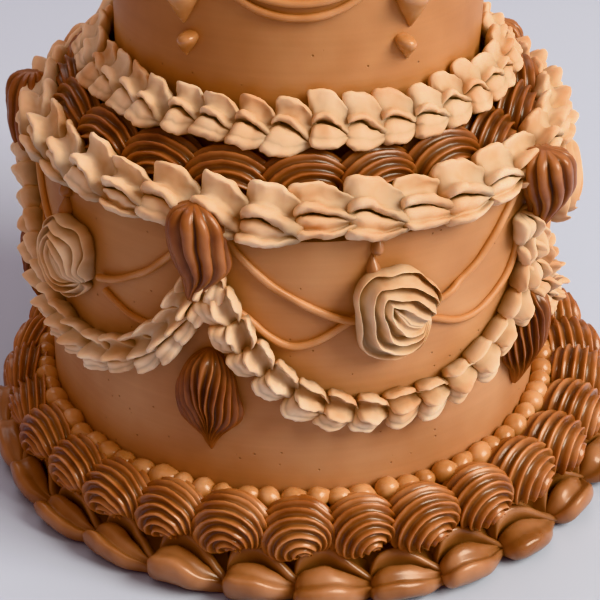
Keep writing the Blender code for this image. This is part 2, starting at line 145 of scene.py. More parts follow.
def unevenHand(piece, amount, size):
    # the slight unevenness that a hand leaves: how far it pushes the icing, and over what size
    pick(piece)
    cloud = bpy.data.textures.new(piece.name + "Hand", "CLOUDS")
    cloud.noise_scale = size
    push = piece.modifiers.new("hand", "DISPLACE")
    push.texture = cloud
    push.texture_coords = "LOCAL"
    push.direction = "RGB_TO_XYZ"
    push.strength = amount
    push.mid_level = 0.5
    bpy.ops.object.modifier_apply(modifier=push.name)


def joinAll(name, made):
    deselectAll()
    for piece in made:
        piece.select_set(True)
    bpy.context.view_layer.objects.active = made[0]
    bpy.ops.object.join()
    piece = bpy.context.object
    piece.name = name
    piece.data.name = name
    bpy.ops.object.transform_apply(location=True, rotation=True, scale=True)
    return piece


def layCopies(name, laid):
    # a copy of a unit with its own mesh in each place, joined into one piece
    copies = []
    for place, unit in laid:
        copy = unit.copy()
        copy.data = copy.data.copy()
        scene.collection.objects.link(copy)
        copy.matrix_world = place
        copies.append(copy)
    piece = joinAll(name, copies)
    bpy.ops.object.shade_smooth()
    return piece


def hang(piece, place):
    pick(piece)
    piece.matrix_world = place
    bpy.ops.object.transform_apply(location=True, rotation=True, scale=True)
    bpy.ops.object.shade_smooth()


def clearAway(units):
    deselectAll()
    for unit in units:
        unit.select_set(True)
    bpy.ops.object.delete()


def settle(piece, material, node):
    # its icing, the body it rides on, and the solid that it stands for
    piece.data.materials.clear()
    piece.data.materials.append(material)
    if "crest" not in piece.data.attributes:
        crest = piece.data.attributes.new("crest", "FLOAT", "POINT")
        crest.data.foreach_set("value", [1.0] * len(piece.data.vertices))
    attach(piece, "root")
    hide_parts(node)


def off(amount):
    # how far a hand strays to either side
    return random.uniform(-amount, amount)


def around(amount):
    return 1 + off(amount)


def sized(place, length, width, height):
    return place @ Matrix.Diagonal((length, width, height, 1.0))


def fillIn(rows, steps):
    # a smooth run of rows through the given ones
    filled = []
    for index in range(len(rows) - 1):
        before, start = rows[max(index - 1, 0)], rows[index]
        end, after = rows[index + 1], rows[min(index + 2, len(rows) - 1)]
        for step in range(steps):
            t = step / steps
            filled.append(tuple(
                0.5 * (2 * b + (c - a) * t + (2 * a - 5 * b + 4 * c - d) * t * t + (3 * b - a - 3 * c + d) * t * t * t)
                for a, b, c, d in zip(before, start, end, after)))
    filled.append(rows[-1])
    return filled


# materials
def addNode(tree, kind, settings, links):
    node = tree.nodes.new(kind)
    for key, value in settings.items():
        if isinstance(key, int) or not hasattr(node, key):
            node.inputs[key].default_value = value
        else:
            setattr(node, key, value)
    for key, source in links.items():
        tree.links.new(source, node.inputs[key])
    return node


def perMetre(millimetres):
    return 1000 / millimetres


# mid, deep and pale are its colours, in patches of so many millimetres; the groove setting is painted shade: how dark
# the colour is made at the bottom of a groove
# grain, streak, pinhole and the heights are in millimetres; only the scraped icing has streaks and pinholes
icings = {
    # American buttercream smoothed with a metal scraper: satin, faint level streaks, a few pinholes
    "scrapedCaramelButtercream": {
        "mid": "#BC8B6B", "deep": "#AD7A59", "pale": "#C79979", "patch": 45,
        "roughness": 0.50, "coat": 0.0, "subsurface": 0.10, "groove": 1.0,
        "grain": 1.6, "grainHeight": 0.05, "streak": 2.2, "streakHeight": 0.10, "pinhole": 7.0,
    },
    # buttercream with less cocoa, piped cold through a petal tip: soft and matt, with torn edges
    "paleTanButtercream": {
        "mid": "#EBC7A6", "deep": "#D8A57F", "pale": "#F8DEC4", "patch": 18,
        "roughness": 0.62, "coat": 0.0, "subsurface": 0.12, "groove": 0.28,
        "grain": 0.9, "grainHeight": 0.05,
    },
    # dark chocolate buttercream from a star tip: fatty sheen on the rib crests
    "darkChocolateButtercream": {
        "mid": "#B57852", "deep": "#975A38", "pale": "#C58B64", "patch": 14,
        "roughness": 0.30, "coat": 0.42, "subsurface": 0.10, "groove": 0.34,
        "grain": 0.8, "grainHeight": 0.035,
    },
    # the dark chocolate buttercream again, for the shells piped between the tiers and low on the wall: darker as
    # painted shade, the same sheen
    "chocolateButtercreamPaintedShade": {
        "mid": "#965D3D", "deep": "#784429", "pale": "#A8704D", "patch": 14,
        "roughness": 0.36, "coat": 0.28, "subsurface": 0.10, "groove": 0.30,
        "grain": 0.8, "grainHeight": 0.035,
    },
    # the wall's own buttercream, a shade lighter, drawn out in thin lines with a satin skin
    "drawnCaramelButtercream": {
        "mid": "#C08A62", "deep": "#B27A53", "pale": "#CD9B76", "patch": 20,
        "roughness": 0.42, "coat": 0.06, "subsurface": 0.14, "groove": 1.0,
        "grain": 0.8, "grainHeight": 0.03,
    },
    # warm chocolate buttercream from a round tip: smooth satin skin with soft highlights
    "satinBeadButtercream": {
        "mid": "#C6926A", "deep": "#B17B54", "pale": "#D9A984", "patch": 14,
        "roughness": 0.26, "coat": 0.50, "subsurface": 0.14, "groove": 1.0,
        "grain": 0.8, "grainHeight": 0.03,
    },
    # milk chocolate buttercream pressed out in broad smooth lobes; the rosette drops get it too, its darker colour
    # standing in as painted shade there
    "milkChocolateButtercream": {
        "mid": "#A27152", "deep": "#8A5B3E", "pale": "#B38264", "patch": 20,
        "roughness": 0.31, "coat": 0.25, "subsurface": 0.12, "groove": 0.50,
        "grain": 1.0, "grainHeight": 0.04,
    },
}


# what is the same in every icing; sizes in metres from here on
icingSkin = {
    "ramp": (0.30, 0.70), "grainBump": 0.6, "gloss": (-0.05, 0.08),  # the roughness wanders by so much
    "refraction": 1.46, "scatter": (1.0, 0.42, 0.2), "scatterDepth": 0.0022, "coatRoughness": 0.2,
}
wallCoat = {
    "low": 0.03, "high": 0.17, "lowPaintedLight": "#FFFFFF", "highPaintedLight": "#F8EFDB",  # painted reflected light: greyer at the foot and warmer higher up
    "along": 9.0, "streakBump": 0.7, "streakShade": (0.97, 1.025),
}
pinholes = {"hole": 0.03, "edge": 0.075, "bump": 0.8, "deep": 0.0004, "shade": 0.62}


def mixIcing(name):
    look = icings[name]
    material = bpy.data.materials.new(name)
    material.use_nodes = True
    tree = material.node_tree
    tree.nodes.clear()
    place = addNode(tree, "ShaderNodeTexCoord", {}, {}).outputs["Object"]
    patch = addNode(tree, "ShaderNodeTexNoise", {"Scale": perMetre(look["patch"]), "Detail": 3.0}, {"Vector": place})
    tone = addNode(tree, "ShaderNodeValToRGB", {}, {"Fac": patch.outputs["Fac"]})
    for stop, position, shade in zip(tone.color_ramp.elements, icingSkin["ramp"], ("deep", "pale")):
        stop.position = position
        stop.color = linear(look[shade])
    tone.color_ramp.elements.new(0.5).color = linear(look["mid"])
    # painted shade: the colour is darkened in the grooves and creases, where the crest value is low
    crest = addNode(tree, "ShaderNodeAttribute", {"attribute_name": "crest"}, {}).outputs["Fac"]
    lit = addNode(tree, "ShaderNodeMapRange", {"To Min": look["groove"]}, {"Value": crest})
    colour = addNode(tree, "ShaderNodeVectorMath", {"operation": "SCALE"},
                     {0: tone.outputs["Color"], "Scale": lit.outputs["Result"]}).outputs[0]
    grain = addNode(tree, "ShaderNodeTexNoise", {"Scale": perMetre(look["grain"]), "Detail": 4.0}, {"Vector": place})
    bump = addNode(tree, "ShaderNodeBump", {"Strength": icingSkin["grainBump"], "Distance": look["grainHeight"] / 1000},
                   {"Height": grain.outputs["Fac"]})
    if "streak" in look:
        # painted reflected light: the colour is greyer at the foot and warmer higher up
        height = addNode(tree, "ShaderNodeSeparateXYZ", {}, {0: place}).outputs["Z"]
        rise = addNode(tree, "ShaderNodeMapRange", {"From Min": wallCoat["low"], "From Max": wallCoat["high"]}, {"Value": height})
        paintedLightRamp = addNode(tree, "ShaderNodeValToRGB", {}, {"Fac": rise.outputs["Result"]})
        paintedLightRamp.color_ramp.elements[0].color = linear(wallCoat["lowPaintedLight"])
        paintedLightRamp.color_ramp.elements[1].color = linear(wallCoat["highPaintedLight"])
        colour = addNode(tree, "ShaderNodeVectorMath", {"operation": "MULTIPLY"},
                         {0: colour, 1: paintedLightRamp.outputs["Color"]}).outputs[0]
        # level passes of the scraper: fine across, long along
        passes = (wallCoat["along"], wallCoat["along"], perMetre(look["streak"]))
        stretch = addNode(tree, "ShaderNodeMapping", {"Scale": passes}, {"Vector": place})
        streak = addNode(tree, "ShaderNodeTexNoise", {"Scale": 1.0, "Detail": 5.0}, {"Vector": stretch.outputs["Vector"]})
        bump = addNode(tree, "ShaderNodeBump", {"Strength": wallCoat["streakBump"], "Distance": look["streakHeight"] / 1000},
                       {"Height": streak.outputs["Fac"], "Normal": bump.outputs["Normal"]})
        faint = addNode(tree, "ShaderNodeMapRange", {
            "From Min": 0.35, "From Max": 0.75, "To Min": wallCoat["streakShade"][0], "To Max": wallCoat["streakShade"][1],
        }, {"Value": streak.outputs["Fac"]})
        colour = addNode(tree, "ShaderNodeVectorMath", {"operation": "SCALE"},
                         {0: colour, "Scale": faint.outputs["Result"]}).outputs[0]
    if "pinhole" in look:
        # burst air bubbles, under a millimetre across, one in a few cells
        cell = addNode(tree, "ShaderNodeTexVoronoi", {"Scale": perMetre(look["pinhole"])}, {"Vector": place})
        near = addNode(tree, "ShaderNodeMapRange", {"From Min": pinholes["hole"], "From Max": pinholes["edge"]},
                       {"Value": cell.outputs["Distance"]})
        bump = addNode(tree, "ShaderNodeBump", {"Strength": pinholes["bump"], "Distance": pinholes["deep"]},
                       {"Height": near.outputs["Result"], "Normal": bump.outputs["Normal"]})
        # painted shade: the colour darkens inside each hole
        shade = addNode(tree, "ShaderNodeMapRange", {"To Min": pinholes["shade"]}, {"Value": near.outputs["Result"]})
        colour = addNode(tree, "ShaderNodeVectorMath", {"operation": "SCALE"},
                         {0: colour, "Scale": shade.outputs["Result"]}).outputs[0]
    gloss = addNode(tree, "ShaderNodeMapRange", {
        "From Min": icingSkin["ramp"][0], "From Max": icingSkin["ramp"][1],
        "To Min": look["roughness"] + icingSkin["gloss"][0], "To Max": look["roughness"] + icingSkin["gloss"][1],
    }, {"Value": patch.outputs["Fac"]})
    shader = addNode(tree, "ShaderNodeBsdfPrincipled", {
        "IOR": icingSkin["refraction"], "Coat Weight": look["coat"], "Coat Roughness": icingSkin["coatRoughness"],
        "Subsurface Weight": look["subsurface"], "Subsurface Radius": icingSkin["scatter"],
        "Subsurface Scale": icingSkin["scatterDepth"],
    }, {"Base Color": colour, "Roughness": gloss.outputs["Result"], "Normal": bump.outputs["Normal"]})
    addNode(tree, "ShaderNodeOutputMaterial", {}, {"Surface": shader.outputs["BSDF"]})
    return material


scraped = mixIcing("scrapedCaramelButtercream")
paleTan = mixIcing("paleTanButtercream")
darkChocolate = mixIcing("darkChocolateButtercream")
shadedChocolate = mixIcing("chocolateButtercreamPaintedShade")
satinBead = mixIcing("satinBeadButtercream")
drawnCaramel = mixIcing("drawnCaramelButtercream")
milkChocolateAndDropShade = mixIcing("milkChocolateButtercream")
print("icings mixed")


# tiers: smooth drums of icing with a crisp top edge
tiers = {
    "lowerTier": {"radius": 0.105, "base": 0.0, "height": 0.1455, "node": "lower_tier"},
    "upperTier": {"radius": 0.0728, "base": 0.1458, "height": 0.1230, "node": "upper_tier"},
}
# edge is how far the rims are rounded, insets are the rings inside them
tierSkin = {"sides": 144, "rows": 24, "insets": (0.006, 0.02), "edge": 0.0016, "hand": (0.0011, 0.055)}


def makeTier(name):
    size = tiers[name]
    deselectAll()
    middle = size["base"] + size["height"] / 2
    bpy.ops.mesh.primitive_cylinder_add(vertices=tierSkin["sides"], radius=size["radius"], depth=size["height"],
                                        location=(0, 0, middle))
    piece = bpy.context.object
    piece.name = name
    bpy.ops.object.mode_set(mode="EDIT")
    bpy.ops.mesh.select_all(action="DESELECT")
    mesh = bmesh.from_edit_mesh(piece.data)
    for face in mesh.faces:
        face.select = abs(face.normal.z) > 0.9  # both caps
    for thickness in tierSkin["insets"]:
        bpy.ops.mesh.inset(thickness=thickness)
    bpy.ops.mesh.poke()
    bpy.ops.mesh.select_all(action="DESELECT")
    mesh = bmesh.from_edit_mesh(piece.data)
    for edge in mesh.edges:
        low, high = edge.verts
        level = abs(low.co.z - high.co.z) < 1e-6
        edge.select = level and min(v.co.xy.length for v in edge.verts) > size["radius"] - 1e-4  # the two rims
    bpy.ops.mesh.bevel(offset=tierSkin["edge"], segments=4, profile=0.5)
    bpy.ops.mesh.select_all(action="DESELECT")
    mesh = bmesh.from_edit_mesh(piece.data)
    for edge in mesh.edges:
        edge.select = abs(edge.verts[0].co.z - edge.verts[1].co.z) > size["height"] * 0.5  # the upright ones
    bpy.ops.mesh.subdivide(number_cuts=tierSkin["rows"])
    bpy.ops.object.mode_set(mode="OBJECT")
    bpy.ops.object.transform_apply(location=True, rotation=True, scale=True)
    unevenHand(piece, *tierSkin["hand"])
    for corner in piece.data.vertices:
        if size["base"] == 0.0 and corner.co.z < 0.0008:
            corner.co.z = 0.0  # the foot stays flat
    pick(piece)
    bpy.ops.object.shade_smooth_by_angle(angle=math.radians(50))
    settle(piece, scraped, size["node"])


for tierName in tiers:
    makeTier(tierName)
print("tiers smoothed")


# ruffles: one stroke of a petal tip after another, each tucked under the next
ruffle = {
    # along the stroke: place, top edge, bottom edge, thickness, seam
    "stations": (
        (-0.13, 0.45, -0.42, 0.34, -0.02),
        (-0.10, 0.82, -0.78, 0.70, 0.00),
        (-0.04, 0.97, -0.95, 0.90, 0.03),
        (0.06, 1.02, -1.00, 1.00, 0.07),
        (0.18, 1.04, -1.02, 1.04, 0.10),
        (0.31, 1.05, -1.02, 1.04, 0.10),
        (0.44, 1.04, -1.01, 1.00, 0.08),
        (0.56, 0.99, -0.97, 0.94, 0.03),
        (0.68, 0.90, -0.88, 0.85, -0.03),
        (0.80, 0.77, -0.74, 0.75, -0.09),
        (0.93, 0.61, -0.57, 0.63, -0.13),
        (1.06, 0.45, -0.42, 0.50, -0.15),
        (1.17, 0.24, -0.24, 0.30, -0.13),
    ),
    "variants": 7,
    # how much the strokes differ
    "edges": 0.12, "seam": 0.07, "lip": 0.3, "hollow": 0.35, "fan": 0.35, "twist": 0.07, "station": 0.02,
    "curls": (0.0, 0.5, 1.0, 1.0), "pleat": (-0.06, 0.10), "pleats": 9,
    "fanTo": 0.7, "fanBend": 1.5, "leanBack": 0.08,  # the near end spreads as a fan and leans back over the last stroke
    "tuckFrom": 0.55, "tuckOver": 0.40, "tuckShade": 0.65,  # the far end is darker where the next stroke lies over it, as painted shade
}


def ruffleMouth(top, bottom, thick, seam, lip, hollow, curl, under):
    # across the stroke, from the wall round the lower lobe, over the lip and the dished upper lobe, back to the wall
    up, down = top - seam, bottom - seam
    return [
        (bottom * 0.48, 0.02 * thick), (bottom * 0.76, 0.10 * thick), (bottom * 0.99, 0.28 * thick),
        (bottom * 1.08, 0.52 * thick), (bottom * 1.05, 0.74 * thick), (bottom * 0.94, 0.84 * thick),
        (bottom * 0.80, (0.82 - 0.10 * curl) * thick),
        (bottom * 0.67, (0.82 - 0.42 * curl) * thick), (bottom * 0.58, (0.84 - 0.08 * curl) * thick),
        (seam + down * 0.46, 0.88 * thick), (seam + down * 0.27, 0.85 * thick),
        (seam + down * 0.16, 0.62 * thick), (seam - 0.09, 0.34 * thick), (seam - 0.06, 0.50 * thick),
        (seam - 0.07 - 0.09 * lip, 0.86 * thick), (seam - 0.06 - 0.06 * lip, (0.98 + 0.12 * lip) * thick),
        (seam + 0.01, (1.02 + 0.14 * lip) * thick), (seam + 0.06 + 0.05 * lip, (0.98 + 0.08 * lip) * thick),
        (seam + 0.13 + 0.05 * lip, (0.88 - 0.10 * lip) * thick),
        (seam + up * 0.38, (0.92 - hollow * 0.95) * thick), (seam + up * 0.60, (0.92 - hollow * 0.85) * thick),
        (seam + up * 0.82, (0.96 - hollow * 0.45) * thick), (top * 0.96, 0.98 * thick),
        (top * 1.05, 0.92 * thick), (top * 1.07, 0.72 * thick), (top * 0.98, 0.44 * thick),
        (top * 0.86, 0.16 * thick), (top * 0.68, 0.02 * thick),
        (top * 0.30, under), (bottom * 0.25, under),
    ]


# painted shade at each point of the mouth, one value for each: 0 darkest, in the creases by the wall and under the lip,
# and 1 for none
ruffleCrests = (0.0, 0.1, 0.5, 0.9, 1.0, 1.0, 0.9, 0.6, 0.9, 1.0, 0.8, 0.25, 0.0, 0.0, 0.6, 1.0, 1.0, 0.95, 0.6,
                0.55, 0.7, 0.9, 1.0, 1.0, 0.9, 0.5, 0.1, 0.0, 0.0, 0.0)


def ruffleUnits(name, shape):
    units = []
    for variant in range(ruffle["variants"]):
        topBias, bottomBias, seamBias = around(ruffle["edges"]), around(ruffle["edges"]), off(ruffle["seam"])
        lip, hollow = shape["lip"] * around(ruffle["lip"]), shape["hollow"] * around(ruffle["hollow"])
        curl = shape["curl"] * random.choice(ruffle["curls"])
        fan, pleat, twist = shape["fan"] * around(ruffle["fan"]), random.uniform(*ruffle["pleat"]), off(ruffle["twist"])
        rims = []
        crests = []
        for x, top, bottom, thick, seam in ruffle["stations"]:
            tucked = 1 - ruffle["tuckShade"] * min(1.0, max(0.0, (x - ruffle["tuckFrom"]) / ruffle["tuckOver"]))
            crests.append([crest * tucked for crest in ruffleCrests])
            top = top ** shape["notch"] * topBias * around(ruffle["station"])
            bottom = -(-bottom) ** shape["notch"] * shape["low"] * bottomBias * around(ruffle["station"])
            thick = thick ** shape["notch"] * (1 + pleat * math.sin(ruffle["pleats"] * x)) * around(ruffle["station"])
            mouth = ruffleMouth(top, bottom, thick, seam * shape["arch"] + seamBias, lip, hollow, curl, shape["under"])
            near = max(0.0, 1 - max(x, 0.0) / ruffle["fanTo"])
            rims.append([
                Vector((x - ruffle["leanBack"] * max(z, 0.0) - fan * near * abs(y) ** ruffle["fanBend"] + twist * y, y, z))
                for y, z in mouth])
        units.append(soften(pipeStroke(f"{name}{variant}", rims, crests)))
    return units


# width is half of the band's; notch under 1 keeps the far end of a stroke broad, fan spreads its near end
# lip and curl roll the edges over, hollow dishes the upper lobe, arch bends the seam, low shortens the lower lobe
bands = {
    "rimRuffle": {
        "node": "rim_ruffle", "count": 35, "start": 2.0, "radius": 0.1000, "height": 0.1512, "slope": 46,
        "width": 0.0112, "thick": 0.0125, "under": -0.55, "notch": 0.75,
        "fan": 0.12, "lip": 1.5, "hollow": 0.30, "curl": 1.0, "arch": 1.1, "low": 0.76,
    },
    "collarRuffle": {
        "node": "collar_ruffle", "count": 38, "start": 5.0, "radius": 0.0790, "height": 0.1778, "slope": 46,
        "width": 0.0097, "thick": 0.0076, "under": -0.30, "notch": 1.0,
        "fan": 0.20, "lip": 0.8, "hollow": 0.20, "curl": 0.0, "arch": 1.4, "low": 0.95,
    },
    "topRuffle": {
        "node": "top_ruffle", "count": 24, "start": 0.0, "radius": 0.0655, "height": 0.2700, "slope": 30,
        "width": 0.0112, "thick": 0.0125, "under": -0.10, "notch": 0.8,
        "fan": 0.14, "lip": 1.1, "hollow": 0.24, "curl": 0.5, "arch": 1.0, "low": 0.95,
    },
}
# how far the hand strays: share of a step, metres, degrees, shares of the sizes; the strokes are drawn down a little
bandHand = {
    "turn": 0.06, "place": 0.0006, "slope": 6, "spin": 8, "drawn": -6,
    "length": 0.09, "width": 0.08, "thick": 0.11, "skin": (0.0017, 0.005),
}


def makeBand(name):
    band = bands[name]
    units = ruffleUnits(name + "Stroke", band)
    step = 360 / band["count"]
    length = math.radians(step) * band["radius"]
    laid = []
    for index in range(band["count"]):
        turn = band["start"] + index * step + off(bandHand["turn"]) * step
        place = seat(turn, band["radius"] + off(bandHand["place"]), band["height"] + off(bandHand["place"]),
                     band["slope"] + off(bandHand["slope"]), spin=off(bandHand["spin"]) + bandHand["drawn"])
        laid.append((sized(place, length * around(bandHand["length"]), band["width"] * around(bandHand["width"]),
                           band["thick"] * around(bandHand["thick"])), random.choice(units)))
    piece = layCopies(name, laid)
    clearAway(units)
    unevenHand(piece, *bandHand["skin"])
    settle(piece, paleTan, band["node"])


for bandName in bands:
    makeBand(bandName)
print("ruffle rings piped")


# swags: a ruffle that hangs from shell to shell on the lower wall
swag = {
    # degrees from the middle of the swag, height; the front one is a little squarer on its right
    "front": ((-37.5, 0.133), (-34.8, 0.1235), (-31.4, 0.1095), (-27.9, 0.0990), (-23.9, 0.0900), (-17.9, 0.0815),
              (-11.8, 0.0752), (-4.6, 0.0722), (1.9, 0.0718), (8.7, 0.0726), (14.8, 0.0748), (21.5, 0.0795),
              (27.5, 0.0855), (32.4, 0.0935), (36.0, 0.1035), (38.2, 0.1150), (39.3, 0.1290)),
    "other": ((-36.5, 0.133), (-34.5, 0.1215), (-31.5, 0.1085), (-27.9, 0.0975), (-23.5, 0.0885), (-17.9, 0.0805),
              (-11.8, 0.0750), (-5.0, 0.0725), (1.9, 0.0720), (8.7, 0.0728), (14.8, 0.0760), (20.5, 0.0818),
              (25.5, 0.0905), (29.5, 0.1010), (32.0, 0.1110), (34.5, 0.1225), (36.0, 0.1330)),
    "raise": (0.0, 0.0, 0.002, 0.001, 0.0085),  # how much higher the middle of each hangs
    "raiseFrom": 0.133, "raiseOver": 0.045,  # none of it at this height, all of it so far below
    "first": 19.6, "step": 72,  # degrees: the middle of the first swag, and from one to the next
    "wall": 0.1050, "sink": 0.0002, "strokes": 16, "width": 0.0077, "thick": 0.0104,
    "under": -0.08, "notch": 1.6, "fan": 0.22, "lip": 1.0, "hollow": 0.60, "curl": 0.0, "arch": 0.5, "low": 0.95,
    "hand": {"height": 0.0006, "spin": 7, "drawn": -3, "length": 0.07, "width": 0.06, "thick": 0.08, "skin": (0.0014, 0.004)},
}


def walkPath(knots, count):
    # evenly spaced places on the path through the knots: turn, height and climb in degrees
    line = [Vector(spot) for spot in fillIn([(math.radians(turn) * swag["wall"], height) for turn, height in knots], 12)]
    lengths = [0.0]
    for index in range(len(line) - 1):
        lengths.append(lengths[-1] + (line[index + 1] - line[index]).length)
    places = []
    for number in range(count):
        wanted = lengths[-1] * number / count
        index = max(i for i in range(len(lengths) - 1) if lengths[i] <= wanted)
        share = (wanted - lengths[index]) / (lengths[index + 1] - lengths[index])
        spot = line[index].lerp(line[index + 1], share)
        ahead = line[min(index + 3, len(line) - 1)] - line[max(index - 2, 0)]
        places.append((math.degrees(spot.x / swag["wall"]), spot.y, math.degrees(math.atan2(ahead.y, ahead.x))))
    return places, lengths[-1]


def makeSwags():
    units = ruffleUnits("swagStroke", swag)
    hand = swag["hand"]
    for number, higher in enumerate(swag["raise"]):
        walk, length = walkPath(swag["front"] if number == 0 else swag["other"], swag["strokes"])
        middle = swag["first"] + swag["step"] * number
        laid = []
        for turn, height, climb in walk:
            height += higher * min(1.0, max(0.0, (swag["raiseFrom"] - height) / swag["raiseOver"]))
            place = seat(middle + turn, swag["wall"] - swag["sink"], height + off(hand["height"]), 90,
                         climb=climb, spin=off(hand["spin"]) + hand["drawn"])
            laid.append((sized(place, length / swag["strokes"] * around(hand["length"]),
                               swag["width"] * around(hand["width"]), swag["thick"] * around(hand["thick"])),
                         random.choice(units)))
        piece = layCopies(f"swagRuffle{number + 1}", laid)
        unevenHand(piece, *hand["skin"])
        settle(piece, paleTan, f"swag_ruffle_{number + 1}")
    clearAway(units)


makeSwags()
print("swags hung")


# shells: a star tip pressed down, lifted over and drawn away to the right
# along one rib: share of its pitch, distance from the middle
thinRib = ((-0.08, 1.0), (0.08, 1.0), (0.22, 0.86), (0.50, 0.77), (0.78, 0.86))
thickRib = ((-0.36, 0.87), (-0.20, 0.97), (0.0, 1.0), (0.20, 0.97), (0.36, 0.87), (0.50, 0.62))
ringShells = {
    # half is half of a shell's width, turnRibs how far the ribs wind, aside how far the ring bulges to the right
    "baseShells": {
        "node": "base_shells", "icing": darkChocolate, "count": 30, "start": 1.5, "radius": 0.1216, "height": 0.0108,
        "half": 0.0134, "tall": 0.0246, "slope": -6, "ribs": 19, "turnRibs": 9, "aside": 0.0045,
    },
    "ledgeShells": {
        "node": "ledge_shells", "icing": shadedChocolate, "count": 20, "start": 3.5, "radius": 0.0866, "height": 0.1475,
        "half": 0.0126, "tall": 0.0218, "slope": 0, "ribs": 17, "turnRibs": 4, "aside": 0.0,
    },
}
# how far the hand strays here; widen is how much of the bulge the shells there take up in width
ringHand = {
    "turn": 0.04, "place": 0.0005, "slope": 3, "spin": 9, "length": 0.06, "half": 0.03, "tall": 0.04,
    "variants": 4, "windOff": 3, "overlap": 1.04, "widen": 0.4, "skin": (0.0009, 0.007),
}
shellCurl = {
    # angle round the pivot, distance of the middle from it, half height, half width, as shares of the shell's length
    "arc": ((-122, 0.16, 0.14, 0.24), (-114, 0.23, 0.28, 0.56), (-100, 0.31, 0.37, 0.82), (-82, 0.36, 0.43, 0.95),
            (-60, 0.38, 0.48, 1.00), (-38, 0.37, 0.51, 1.00), (-16, 0.34, 0.50, 0.97), (6, 0.30, 0.46, 0.92),
            (28, 0.26, 0.40, 0.83), (50, 0.21, 0.33, 0.70), (72, 0.17, 0.25, 0.55), (94, 0.14, 0.17, 0.38),
            (112, 0.12, 0.09, 0.20)),
    "pivot": (0.14, 0.36), "pivotOff": 0.03, "size": 0.03, "sweep": 0.06, "windOver": 60,
}


def ribbedMouth(ribs, rib, turn=0.0, uneven=None, grip=1.0, gather=1.0):
    # grip is the depth of the ribs, 1 as the table gives it and 0 for none; gather over 1 draws the ribs to the front
    mouth = []
    for number in range(ribs):
        for share, reach in rib:
            shift = 0.0 if uneven is None else uneven[number] * (0.5 - min(abs(share), 1 - share))
            angle = 2 * math.pi * (number + share + shift) / ribs + turn
            out = 1 - (1 - reach) * grip
            if gather != 1.0:
                aside = (angle - math.pi / 2 + math.pi) % (2 * math.pi) / math.pi - 1
                angle = math.pi / 2 + math.copysign(abs(aside) ** gather, aside) * math.pi
            mouth.append((math.cos(angle) * out, math.sin(angle) * out))
    return mouth


# painted shade for the colour: darker towards the bottom of each groove between the ribs
def ribCrests(ribs, rib, grip=1.0):
    lowest = min(reach for share, reach in rib)
    return [1 - min(grip, 1.0) * (1 - reach) / (1 - lowest) for number in range(ribs) for share, reach in rib]


def shellUnit(name, ribs, turnRibs):
    # the mouth of the tip swings round a pivot inside the shell and turns as it goes
    pivot = Vector((shellCurl["pivot"][0] + off(shellCurl["pivotOff"]), 0.0, shellCurl["pivot"][1]))
    size, sweep = around(shellCurl["size"]), around(shellCurl["sweep"])
    rims = []
    for angle, arm, tall, half in fillIn(shellCurl["arc"], 2):
        lean = math.radians(angle * sweep)
        reach = Vector((math.sin(lean), 0.0, math.cos(lean)))
        mouth = ribbedMouth(ribs, thinRib, math.radians(turnRibs * angle / shellCurl["windOver"]))
        rims.append([pivot + reach * (arm * size + tall * size * b) + Vector((0, half * a, 0)) for a, b in mouth])
    piece = pipeStroke(name, rims, [ribCrests(ribs, thinRib)] * len(rims))
    bpy.ops.object.shade_smooth()
    return piece


def makeRingShells(name):
    ring = ringShells[name]
    units = [shellUnit(f"{name}Unit{variant}", ring["ribs"], ring["turnRibs"] + off(ringHand["windOff"]))
             for variant in range(ringHand["variants"])]
    step = 360 / ring["count"]
    length = math.radians(step) * ring["radius"] * ringHand["overlap"]
    laid = []
    for index in range(ring["count"]):
        turn = ring["start"] + step * (index + off(ringHand["turn"]))
        aside = ring["aside"] * math.sin(math.radians(turn))
        place = seat(turn, ring["radius"] + aside + off(ringHand["place"]), ring["height"],
                     ring["slope"] + off(ringHand["slope"]), spin=off(ringHand["spin"]))
        laid.append((sized(place, length * around(ringHand["length"]),
                           (ring["half"] + aside * ringHand["widen"]) * around(ringHand["half"]),
                           ring["tall"] * around(ringHand["tall"])), random.choice(units)))
    piece = layCopies(name, laid)
    clearAway(units)
    unevenHand(piece, *ringHand["skin"])
    settle(piece, ring["icing"], ring["node"])


for ringName in ringShells:
    makeRingShells(ringName)
print("shell rings piped")


